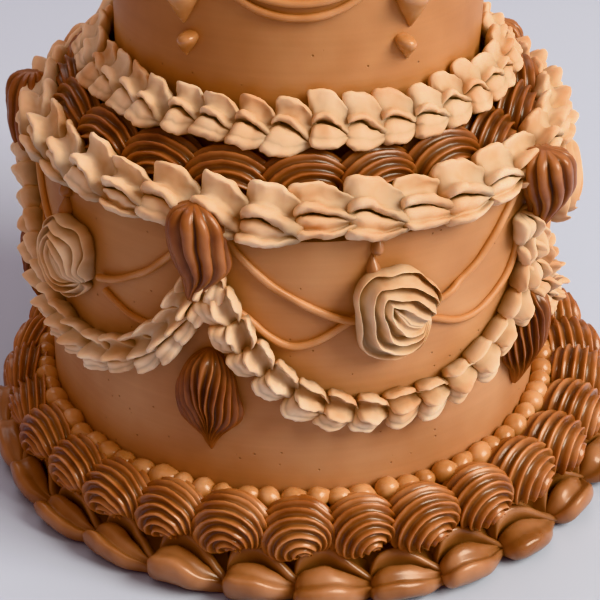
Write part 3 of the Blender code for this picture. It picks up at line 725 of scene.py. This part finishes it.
# shells on the wall: pressed at the top and drawn down to a tip
wallShells = {
    # ends, where each hangs: turn, distance from the middle, top, tip, girth
    # arc, along a shell: share of the length, half width, middle aside, depth, depth of the ribs
    # gather is how the ribs crowd to the front, at the top and how much that changes towards the tip
    "swagShell": {
        "node": "swag_shell_", "icing": shadedChocolate, "width": 0.0115, "depth": 0.0104,
        "ribs": 10, "rib": thickRib, "uneven": 0.30, "gather": (0.85, 0.5),
        "ends": ((-18.4, 0.1100, 0.1612, 0.1190, 1.0), (57.2, 0.1105, 0.1625, 0.1285, 1.10),
                 (127.0, 0.1095, 0.1620, 0.1200, 1.0), (199.0, 0.1095, 0.1612, 0.1180, 1.03),
                 (270.5, 0.1072, 0.1640, 0.1200, 0.97)),
        "arc": ((0.0, 0.14, -0.05, 0.34, 0.3), (0.02, 0.40, -0.05, 0.62, 0.6), (0.06, 0.66, -0.04, 0.84, 0.8),
                (0.13, 0.86, 0.0, 0.96, 1.0), (0.22, 0.97, 0.04, 1.0, 1.0), (0.33, 1.0, 0.09, 1.0, 1.0),
                (0.43, 1.0, 0.17, 0.98, 1.0), (0.53, 0.98, 0.25, 0.92, 1.0), (0.62, 0.86, 0.28, 0.83, 1.0),
                (0.70, 0.68, 0.22, 0.72, 0.9), (0.77, 0.50, 0.11, 0.60, 0.7), (0.84, 0.35, 0.0, 0.50, 0.5),
                (0.91, 0.24, -0.09, 0.40, 0.3), (0.96, 0.16, -0.14, 0.30, 0.15), (1.0, 0.06, -0.16, 0.18, 0.1)),
    },
    "lowShell": {
        "node": "low_shell_", "icing": shadedChocolate, "width": 0.0134, "depth": 0.0106,
        "ribs": 19, "rib": thinRib, "uneven": 0.25, "gather": (0.60, 1.7),
        "ends": ((-17.2, 0.1050, 0.0965, 0.0505, 1.0), (60.2, 0.1050, 0.0970, 0.0510, 1.06),
                 (126.8, 0.1050, 0.0965, 0.0505, 1.0), (198.8, 0.1050, 0.0960, 0.0510, 0.97),
                 (270.8, 0.1050, 0.0965, 0.0505, 1.02)),
        "arc": ((0.0, 0.12, 0.05, 0.30, 0.3), (0.02, 0.30, 0.04, 0.56, 0.6), (0.07, 0.50, 0.02, 0.80, 1.0),
                (0.14, 0.66, 0.0, 0.94, 1.3), (0.22, 0.78, -0.02, 1.0, 1.4), (0.32, 0.89, -0.03, 1.0, 1.4),
                (0.42, 0.96, -0.02, 0.97, 1.4), (0.52, 1.0, 0.03, 0.90, 1.4), (0.60, 0.97, 0.05, 0.80, 1.3),
                (0.67, 0.84, 0.05, 0.70, 1.1), (0.74, 0.61, 0.03, 0.59, 0.8), (0.81, 0.40, 0.02, 0.48, 0.4),
                (0.88, 0.25, 0.0, 0.37, 0.2), (0.94, 0.14, -0.01, 0.26, 0.1), (1.0, 0.04, 0.0, 0.13, 0.0)),
    },
}
# lean in degrees; stand and bulge are how far a shell stands off the wall and bulges, as shares of its depth
wallHand = {"lean": 2, "stand": 0.28, "bulge": 0.9, "skin": (0.0009, 0.006)}


def makeWallShells(name):
    look = wallShells[name]
    gather, gatherMore = look["gather"]
    for number, (turn, wall, top, tip, girth) in enumerate(look["ends"]):
        length = top - tip
        width, depth = look["width"] * girth, look["depth"] * girth
        rims = []
        crests = []
        lean = math.radians(off(wallHand["lean"]))
        uneven = [off(look["uneven"]) for rib in range(look["ribs"])]
        for share, half, aside, deep, grip in fillIn(look["arc"], 2):
            grip = max(grip, 0.0)
            mouth = ribbedMouth(look["ribs"], look["rib"], math.pi / 2, uneven, grip, gather + gatherMore * share)
            crests.append(ribCrests(look["ribs"], look["rib"], grip))
            drop = -share * length
            side = math.sin(lean) * drop + aside * width
            rims.append([Vector((side + width * half * a, drop * math.cos(lean),
                                 depth * deep * (wallHand["stand"] + wallHand["bulge"] * b))) for a, b in mouth])
        piece = pipeStroke(f"{name}{number + 1}", rims, crests)
        hang(piece, seat(turn, wall, top, 90))
        unevenHand(piece, *wallHand["skin"])
        settle(piece, look["icing"], f"{look['node']}{number + 1}")


for shellName in wallShells:
    makeWallShells(shellName)
print("wall shells piped")


# rosettes: a star tip wound out from the middle
rosette = {
    "turn": 20.9, "height": 0.1158, "wall": 0.1048, "wide": 0.0168, "tall": 0.0196, "deep": 0.0160,
    "eye": (-0.16, 0.26), "tail": (0.60, -0.26), "bow": 0.10,  # the line that the folds wind round, and how far it bows out
    "first": 125, "last": -14, "gap": 4,  # where the folds turn over and where the stroke ends, in degrees on the outline
    "lips": (1.0, 0.74, 0.48, 0.24),  # lips of the folds, as shares of the way out
    "wind": 0.13,  # how far a fold winds inwards over its length
    "blade": 0.32,  # height of a lip over the hollow inside it
    "spins": (0, 70, 200, -20, -15),  # how far each is turned from the first
    "aside": (-0.9, 0, 1.0, -0.8, -2.6),  # degrees from the middle of its swag
    "girths": (1.0, 1.0, 1.04, 0.97, 0.88),
    "waves": (0.065, 0.045, 0.022),  # unevenness of the outline in three and in five waves, and of the folds
    "holeAt": 0.10, "holeWide": 0.15,  # where along the line the eye is open
    "dome": (0.50, 2.2), "overlap": 0.12, "closing": 0.15,  # how the folds start and end along the line
    "join": 0.002, "skin": (0.0010, 0.006),
    # from a lip inwards to the next: share of the way, lift
    "foldIn": ((0.0, 1.0), (0.06, 0.97), (0.15, 0.45), (0.25, 0.07), (0.38, 0.0), (0.55, 0.20), (0.73, 0.50), (0.90, 0.86)),
    # from the last lip over the eye: share of that lip's distance, lift, under 0 where the eye is open
    "eyeIn": ((1.0, 1.0), (0.84, 0.5), (0.68, -0.6), (0.50, -0.4), (0.34, 0.45), (0.15, 0.75), (0.0, 0.5)),
    # from the outline back to the wall: share of the way in, share of the height, crest
    "foot": ((-0.02, 0.55, 0.6), (0.02, 0.22, 0.3), (0.12, 0.0, 0.0), (0.55, 0.0, 0.0)),
    "along": (0.0, 0.03, 0.07, 0.12, 0.17, 0.22, 0.28, 0.34, 0.40, 0.46, 0.52, 0.58, 0.64, 0.70, 0.76, 0.82,
              0.87, 0.92, 0.96, 1.0),
}


def rosetteRow():
    # from the outline over all folds in to the eye: share of the way out, lift
    row = []
    for outer, inner in zip(rosette["lips"], rosette["lips"][1:]):
        row += [(outer + (inner - outer) * share, lift) for share, lift in rosette["foldIn"]]
    return row + [(rosette["lips"][-1] * share, lift) for share, lift in rosette["eyeIn"]]


def rosetteRing(along, number):
    # one rim of the stroke: the left folds, the eye, the right folds, and the back along the wall
    row = rosetteRow()
    eye, tail = Vector(rosette["eye"]), Vector(rosette["tail"])
    aside = Vector((tail.y - eye.y, eye.x - tail.x)).normalized()
    line = eye.lerp(tail, along) + aside * rosette["bow"] * math.sin(math.pi * along)
    far = min(1.0, (1 - along) / rosette["closing"])
    turned = 0.75 + 0.25 * min(1.0, along / rosette["overlap"])
    hole = math.exp(-((along - rosette["holeAt"]) / rosette["holeWide"]) ** 2)
    three, five, folds = rosette["waves"]
    domed, domeBend = rosette["dome"]
    spread = {1: 360 + rosette["last"] - rosette["gap"] - rosette["first"],
              -1: rosette["last"] + rosette["gap"] - rosette["first"]}
    ring = []
    for side in (1, -1):
        angle = math.radians(rosette["first"] + spread[side] * along)
        edge = 1 + three * math.cos(3 * angle - 0.6 + number) + five * math.cos(5 * angle + 2 * number)
        rim = Vector((math.cos(angle), math.sin(angle))) * edge
        half = []
        for share, lift in row:
            lift = 0.45 + (lift - 0.45) * hole if lift < 0 else lift
            reach = share - side * rosette["wind"] * along * math.sin(math.pi * share) ** 0.8
            reach += folds * math.sin(4 * angle + 9 * share + number) * math.sin(math.pi * share)
            spot = line.lerp(rim, max(reach, 0.0))
            dome = domed + (1 - domed) * math.sqrt(max(0.0, 1 - min(spot.length, 1.0) ** domeBend))
            high = dome - rosette["blade"] * ((1 - lift) * far * turned + 0.5 * (1 - turned) + 0.9 * (1 - far))
            # the second value is painted shade for the colour, darker in the hollows between the folds
            half.append((Vector((spot.x, spot.y, high)), 0.25 + 0.75 * max(0.0, lift)))
        outline = half[0][0]
        foot = [(Vector((line.x * k + outline.x * (1 - k), line.y * k + outline.y * (1 - k), outline.z * z)), crest)
                for k, z, crest in rosette["foot"]]
        half = list(reversed(foot)) + half
        if side == 1:
            ring += half
        else:
            ring += list(reversed(half[:-1]))
    ring.append((Vector((line.x, line.y, 0.0)), 0.0))
    return [point for point, crest in ring], [crest for point, crest in ring]


def makeRosettes():
    for number, spin in enumerate(rosette["spins"]):
        rings = [rosetteRing(along, number) for along in rosette["along"]]
        piece = pipeStroke(f"rosette{number + 1}", [points for points, crests in rings], [crests for points, crests in rings])
        bpy.ops.object.mode_set(mode="EDIT")
        bpy.ops.mesh.select_all(action="SELECT")
        bpy.ops.mesh.remove_doubles(threshold=rosette["join"])  # the folds join where they turn over
        bpy.ops.mesh.normals_make_consistent(inside=False)
        bpy.ops.object.mode_set(mode="OBJECT")
        piece = soften(piece)
        girth = rosette["girths"][number]
        turn = rosette["turn"] + swag["step"] * number + rosette["aside"][number]
        place = sized(seat(turn, rosette["wall"], rosette["height"], 90),
                      rosette["wide"] * girth, rosette["tall"] * (0.4 + 0.6 * girth), rosette["deep"] * girth)
        hang(piece, place @ Matrix.Rotation(math.radians(spin), 4, "Z"))
        unevenHand(piece, *rosette["skin"])
        settle(piece, paleTan, f"rosette_{number + 1}")


makeRosettes()
print("rosettes wound")


# strings: thin round lines dropped from point to point
string = {
    "half": 0.00145, "lift": 0.0009, "uneven": 0.06,
    "over": 0.0012, "overKnots": 3,  # the shallow ones start over the deep ones
    # upper tier: turns of the ends, their height, lowest points, how round the bow is, knots on each half
    "ends": (-32.4, 32.4, 106.2, 180.0, 253.8, 327.6), "top": 0.2455, "lows": (0.2184, 0.2238), "bow": 2.2, "knots": 7,
}
lowerStrings = {
    # degrees from the middle of the swag, height
    "shallowLeft": ((-6.0, 0.1120), (-7.5, 0.1120), (-11, 0.1139), (-14, 0.1159), (-16.9, 0.1188), (-19.7, 0.1220),
                    (-23.5, 0.1266), (-25.8, 0.1302), (-28.5, 0.1350), (-31, 0.1402), (-33.5, 0.146)),
    "deepLeft": ((-6.0, 0.1135), (-8.3, 0.1110), (-11, 0.1076), (-13.8, 0.1043), (-16.7, 0.1020), (-19.6, 0.1012),
                 (-21.6, 0.1022), (-23.5, 0.1042), (-25.5, 0.1070), (-27.5, 0.1105), (-29.8, 0.1140), (-31.8, 0.1160)),
    "shallowRight": ((8.0, 0.1125), (10.7, 0.1138), (14.2, 0.1164), (16.6, 0.1187), (19.1, 0.1213), (21.6, 0.1244),
                     (24.3, 0.1290), (27, 0.1339), (29.3, 0.1388), (30.8, 0.1419), (34, 0.148)),
    "deepRight": ((9.0, 0.1072), (12.2, 0.1045), (16, 0.1017), (20, 0.1007), (22.8, 0.1014), (25.7, 0.1035),
                  (28.8, 0.1067), (31.3, 0.1099), (33.0, 0.1135), (34.2, 0.1175), (34.9, 0.1220), (35.2, 0.127),
                  (35.4, 0.134)),
}


def dropString(name, points):
    # a line of icing drawn as a curve, given its thickness, and made a mesh
    deselectAll()
    bpy.ops.curve.primitive_nurbs_path_add()
    line = bpy.context.object
    line.name = name
    line.data.splines.clear()
    spline = line.data.splines.new("BEZIER")
    spline.bezier_points.add(len(points) - 1)
    for knot, point in zip(spline.bezier_points, points):
        knot.co = point
        knot.handle_left_type = knot.handle_right_type = "AUTO"
        knot.radius = around(string["uneven"])
    line.data.bevel_depth = string["half"]
    line.data.bevel_resolution = 4
    line.data.resolution_u = 6
    line.data.use_fill_caps = True
    bpy.ops.object.convert(target="MESH")
    bpy.ops.object.shade_smooth()
    return bpy.context.object


def makeStrings():
    made = []
    for number in range(len(swag["raise"])):
        middle = swag["first"] + swag["step"] * number
        for name, knots in lowerStrings.items():
            points = []
            for index, (turn, height) in enumerate(knots):
                over = string["over"] if "shallow" in name and index < string["overKnots"] else 0.0
                points.append(onCake(middle + turn, tiers["lowerTier"]["radius"] + string["lift"] + over, height))
            made.append(dropString(name, points))
    settle(joinAll("lowerStrings", made), drawnCaramel, "lower_tier")
    made = []
    for start, end in zip(string["ends"], string["ends"][1:]):
        for low in string["lows"]:
            points = []
            for index in range(2 * string["knots"] + 1):
                share = index / string["knots"] - 1
                turn = (start + end) / 2 + share * (end - start) / 2
                height = low + (string["top"] - low) * abs(share) ** string["bow"]
                points.append(onCake(turn, tiers["upperTier"]["radius"] + string["lift"], height))
            made.append(dropString("upperString", points))
    settle(joinAll("upperStrings", made), drawnCaramel, "upper_tier")


makeStrings()
print("strings dropped")


# beads between the shells and the wall
beads = {
    "count": 75, "start": 0.7, "radius": 0.1096, "height": 0.0325, "slope": 40, "half": 0.0047, "stretch": 1.10,
    "tails": (0.1, 0.3, 0.5, 0.15, 0.9),  # how far each kind of bead is drawn out as the bag lifts
    "drawn": (0.4, -0.12, -0.18), "thinned": 0.25, "pressed": (1.06, 1.06, 0.8),
    "hand": {"size": 0.13, "turn": 0.10, "height": 0.0008, "spin": 25, "length": 0.12, "width": 0.08, "skin": (0.0009, 0.004)},
}


def beadUnit(name, tail):
    deselectAll()
    bpy.ops.mesh.primitive_uv_sphere_add(segments=16, ring_count=10, radius=1.0)
    piece = bpy.context.object
    piece.name = name
    bpy.ops.object.mode_set(mode="EDIT")
    bpy.ops.mesh.select_all(action="DESELECT")
    mesh = bmesh.from_edit_mesh(piece.data)
    for corner in mesh.verts:
        corner.select = corner.co.x > 0.55  # the end that is drawn out
    mesh.select_flush(True)
    bpy.ops.transform.translate(value=[part * tail for part in beads["drawn"]])
    thinner = 1 - beads["thinned"] * tail
    bpy.ops.transform.resize(value=(1.0, thinner, thinner), center_override=(1.0, 0, 0))
    bpy.ops.mesh.select_all(action="DESELECT")
    mesh = bmesh.from_edit_mesh(piece.data)
    for corner in mesh.verts:
        corner.select = corner.co.z < -0.5  # the underside, pressed flat
    mesh.select_flush(True)
    bpy.ops.transform.resize(value=beads["pressed"])
    bpy.ops.object.mode_set(mode="OBJECT")
    bpy.ops.object.shade_smooth()
    return piece


def makeBeads():
    hand = beads["hand"]
    units = [beadUnit(f"bead{variant}", tail) for variant, tail in enumerate(beads["tails"])]
    laid = []
    step = 360 / beads["count"]
    for index in range(beads["count"]):
        size = beads["half"] * around(hand["size"])
        place = seat(beads["start"] + step * (index + off(hand["turn"])), beads["radius"],
                     beads["height"] + off(hand["height"]), beads["slope"], spin=off(hand["spin"]))
        laid.append((sized(place, size * beads["stretch"] * around(hand["length"]), size * around(hand["width"]), size),
                     random.choice(units)))
    piece = layCopies("pearlBorder", laid)
    clearAway(units)
    unevenHand(piece, *hand["skin"])
    settle(piece, satinBead, "pearl_border")


makeBeads()
print("beads set")


# petals on the ground round the foot
petals = {
    "count": 28, "start": 3.0, "radius": 0.1262, "pitchRadius": 0.130, "height": 0.0, "width": 0.0150, "thick": 0.0158,
    "aside": 0.0055, "widen": 0.4,  # the ring bulges to the right, as the shells on it do
    "under": 0.0, "notch": 2.1, "fan": 0.10, "lip": 1.0, "hollow": 0.14, "curl": 0.55, "arch": 1.2, "low": 1.0,
    "hand": {"turn": 0.06, "slope": (-2, 3), "spin": 5, "length": 0.06, "width": 0.03, "thick": 0.10, "skin": (0.0014, 0.010)},
}


def makePetals():
    hand = petals["hand"]
    units = ruffleUnits("petalStroke", petals)
    step = 360 / petals["count"]
    length = math.radians(step) * petals["pitchRadius"]
    laid = []
    for index in range(petals["count"]):
        turn = petals["start"] + step * (index + off(hand["turn"]))
        aside = petals["aside"] * math.sin(math.radians(turn))
        place = seat(turn, petals["radius"] + aside, petals["height"], random.uniform(*hand["slope"]), spin=off(hand["spin"]))
        laid.append((sized(place, length * around(hand["length"]),
                           (petals["width"] + aside * petals["widen"]) * around(hand["width"]),
                           petals["thick"] * around(hand["thick"])), random.choice(units)))
    piece = layCopies("basePetals", laid)
    clearAway(units)
    unevenHand(piece, *hand["skin"])
    for corner in piece.data.vertices:
        corner.co.z = max(corner.co.z, 0.0)  # they lie flat on the ground
    settle(piece, milkChocolateAndDropShade, "base_petals")


makePetals()
print("petals pressed")


# drops on the walls
drops = {
    "sides": 14,
    # share of the length, half width
    "shape": ((0.0, 0.25), (0.03, 0.58), (0.09, 0.84), (0.18, 0.98), (0.30, 1.0), (0.44, 0.88), (0.60, 0.66), (0.76, 0.42),
              (0.90, 0.20), (1.0, 0.06)),
    "stand": 0.35, "bulge": 0.85,  # how far the middle stands off the wall and how round the front is
    "aboveRosette": -4.4,  # degrees from its rosette
    # aside in degrees, top, tip, half width, depth, spin
    "small": ((-0.5, 0.1303, 0.1213, 0.0028, 0.0042, 184), (0, 0.1388, 0.1288, 0.0024, 0.0038, 177)),
    # turn of each cluster, and the side to which its small drop hangs
    "clusters": ((-32.4, -1), (32.4, 1), (106.2, 1), (180.0, 1), (-106.2, -1)),
    # aside in degrees, top, tip, half width, depth, how far the tip leans aside
    "cluster": ((0, 0.2440, 0.2240, 0.0058, 0.0066, 0.0), (0, 0.2290, 0.2105, 0.0066, 0.0080, 0.0022),
                (7.4, 0.2395, 0.2165, 0.0046, 0.0060, -0.0020), (-1.2, 0.2088, 0.1982, 0.0038, 0.0060, 0.0030)),
}


def wallDrop(turn, wall, top, tip, half, deep, lean=0.0, spin=0.0):
    # pressed round at the top and drawn down to a point, or up to one with a spin of 180
    length = top - tip
    angles = [2 * math.pi * side / drops["sides"] for side in range(drops["sides"])]
    rims = []
    for share, wide in drops["shape"]:
        rims.append([Vector((math.cos(a) * half * wide + lean * share, -share * length,
                             deep * wide * (drops["stand"] + drops["bulge"] * math.sin(a)))) for a in angles])
    piece = soften(pipeStroke("drop", rims))
    hang(piece, seat(turn, wall, top, 90, spin=spin))
    return piece


def makeDrops():
    lowerWall, upperWall = tiers["lowerTier"]["radius"], tiers["upperTier"]["radius"]
    for number in range(len(swag["raise"])):
        turn = rosette["turn"] + drops["aboveRosette"] + swag["step"] * number
        made = [wallDrop(turn + aside, lowerWall, top, tip, half, deep, spin=spin)
                for aside, top, tip, half, deep, spin in drops["small"]]
        # painted shade: the rosette drops take the darker milk chocolate icing for the shade they sit in beside the
        # rosette
        settle(joinAll(f"rosetteDrops{number + 1}", made), milkChocolateAndDropShade, f"rosette_drops_{number + 1}")
    for number, (turn, side) in enumerate(drops["clusters"]):
        made = [wallDrop(turn + side * aside, upperWall, top, tip, half, deep, side * lean)
                for aside, top, tip, half, deep, lean in drops["cluster"]]
        settle(joinAll(f"dropCluster{number + 1}", made), satinBead, f"drop_cluster_{number + 1}")


makeDrops()
print("drops set")


# floor and soft studio light
stageLook = {
    "floor": "#B9C6E0", "floorSize": 8.0, "floorRoughness": 0.9, "world": "#EFCFC0", "worldStrength": 0.44,
    "aim": 0.12,  # height that the lamps point at
}


def addStage():
    deselectAll()
    bpy.ops.mesh.primitive_plane_add(size=stageLook["floorSize"], location=(0, 0, 0))
    floor = bpy.context.object
    floor.name = "floor"
    paint = bpy.data.materials.new("palePaintedFloor")  # matt paint: an even pale ground without reflections
    paint.use_nodes = True
    shader = paint.node_tree.nodes["Principled BSDF"]
    shader.inputs["Base Color"].default_value = linear(stageLook["floor"])
    shader.inputs["Roughness"].default_value = stageLook["floorRoughness"]
    floor.data.materials.append(paint)
    world = bpy.data.worlds.new("studio")
    world.use_nodes = True
    glow = world.node_tree.nodes["Background"]
    glow.inputs["Color"].default_value = linear(stageLook["world"])
    glow.inputs["Strength"].default_value = stageLook["worldStrength"]
    scene.world = world


lamps = {
    # turn and height in degrees, distance, size, power, colour
    "keyWindow": (66, 38, 2.4, 1.4, 77, "#FFF7E0"),
    "frontFill": (-20, 50, 1.9, 1.6, 4.0, "#FFD9C0"),
    "backGlow": (-160, 58, 2.4, 1.8, 15.0, "#FFF4EE"),
}


def addLamps():
    for name, (turn, rise, distance, size, power, colour) in lamps.items():
        rise = math.radians(rise)
        place = onCake(turn, distance * math.cos(rise), stageLook["aim"] + distance * math.sin(rise))
        bpy.ops.object.light_add(type="AREA", location=place)
        lamp = bpy.context.object
        lamp.name = name
        lamp.rotation_euler = (Vector((0, 0, stageLook["aim"])) - place).to_track_quat("-Z", "Y").to_euler()
        lamp.data.size = size
        lamp.data.energy = power
        lamp.data.color = linear(colour)[:3]


addStage()
addLamps()
scene.view_settings.view_transform = "Khronos PBR Neutral"
print("stage lit")
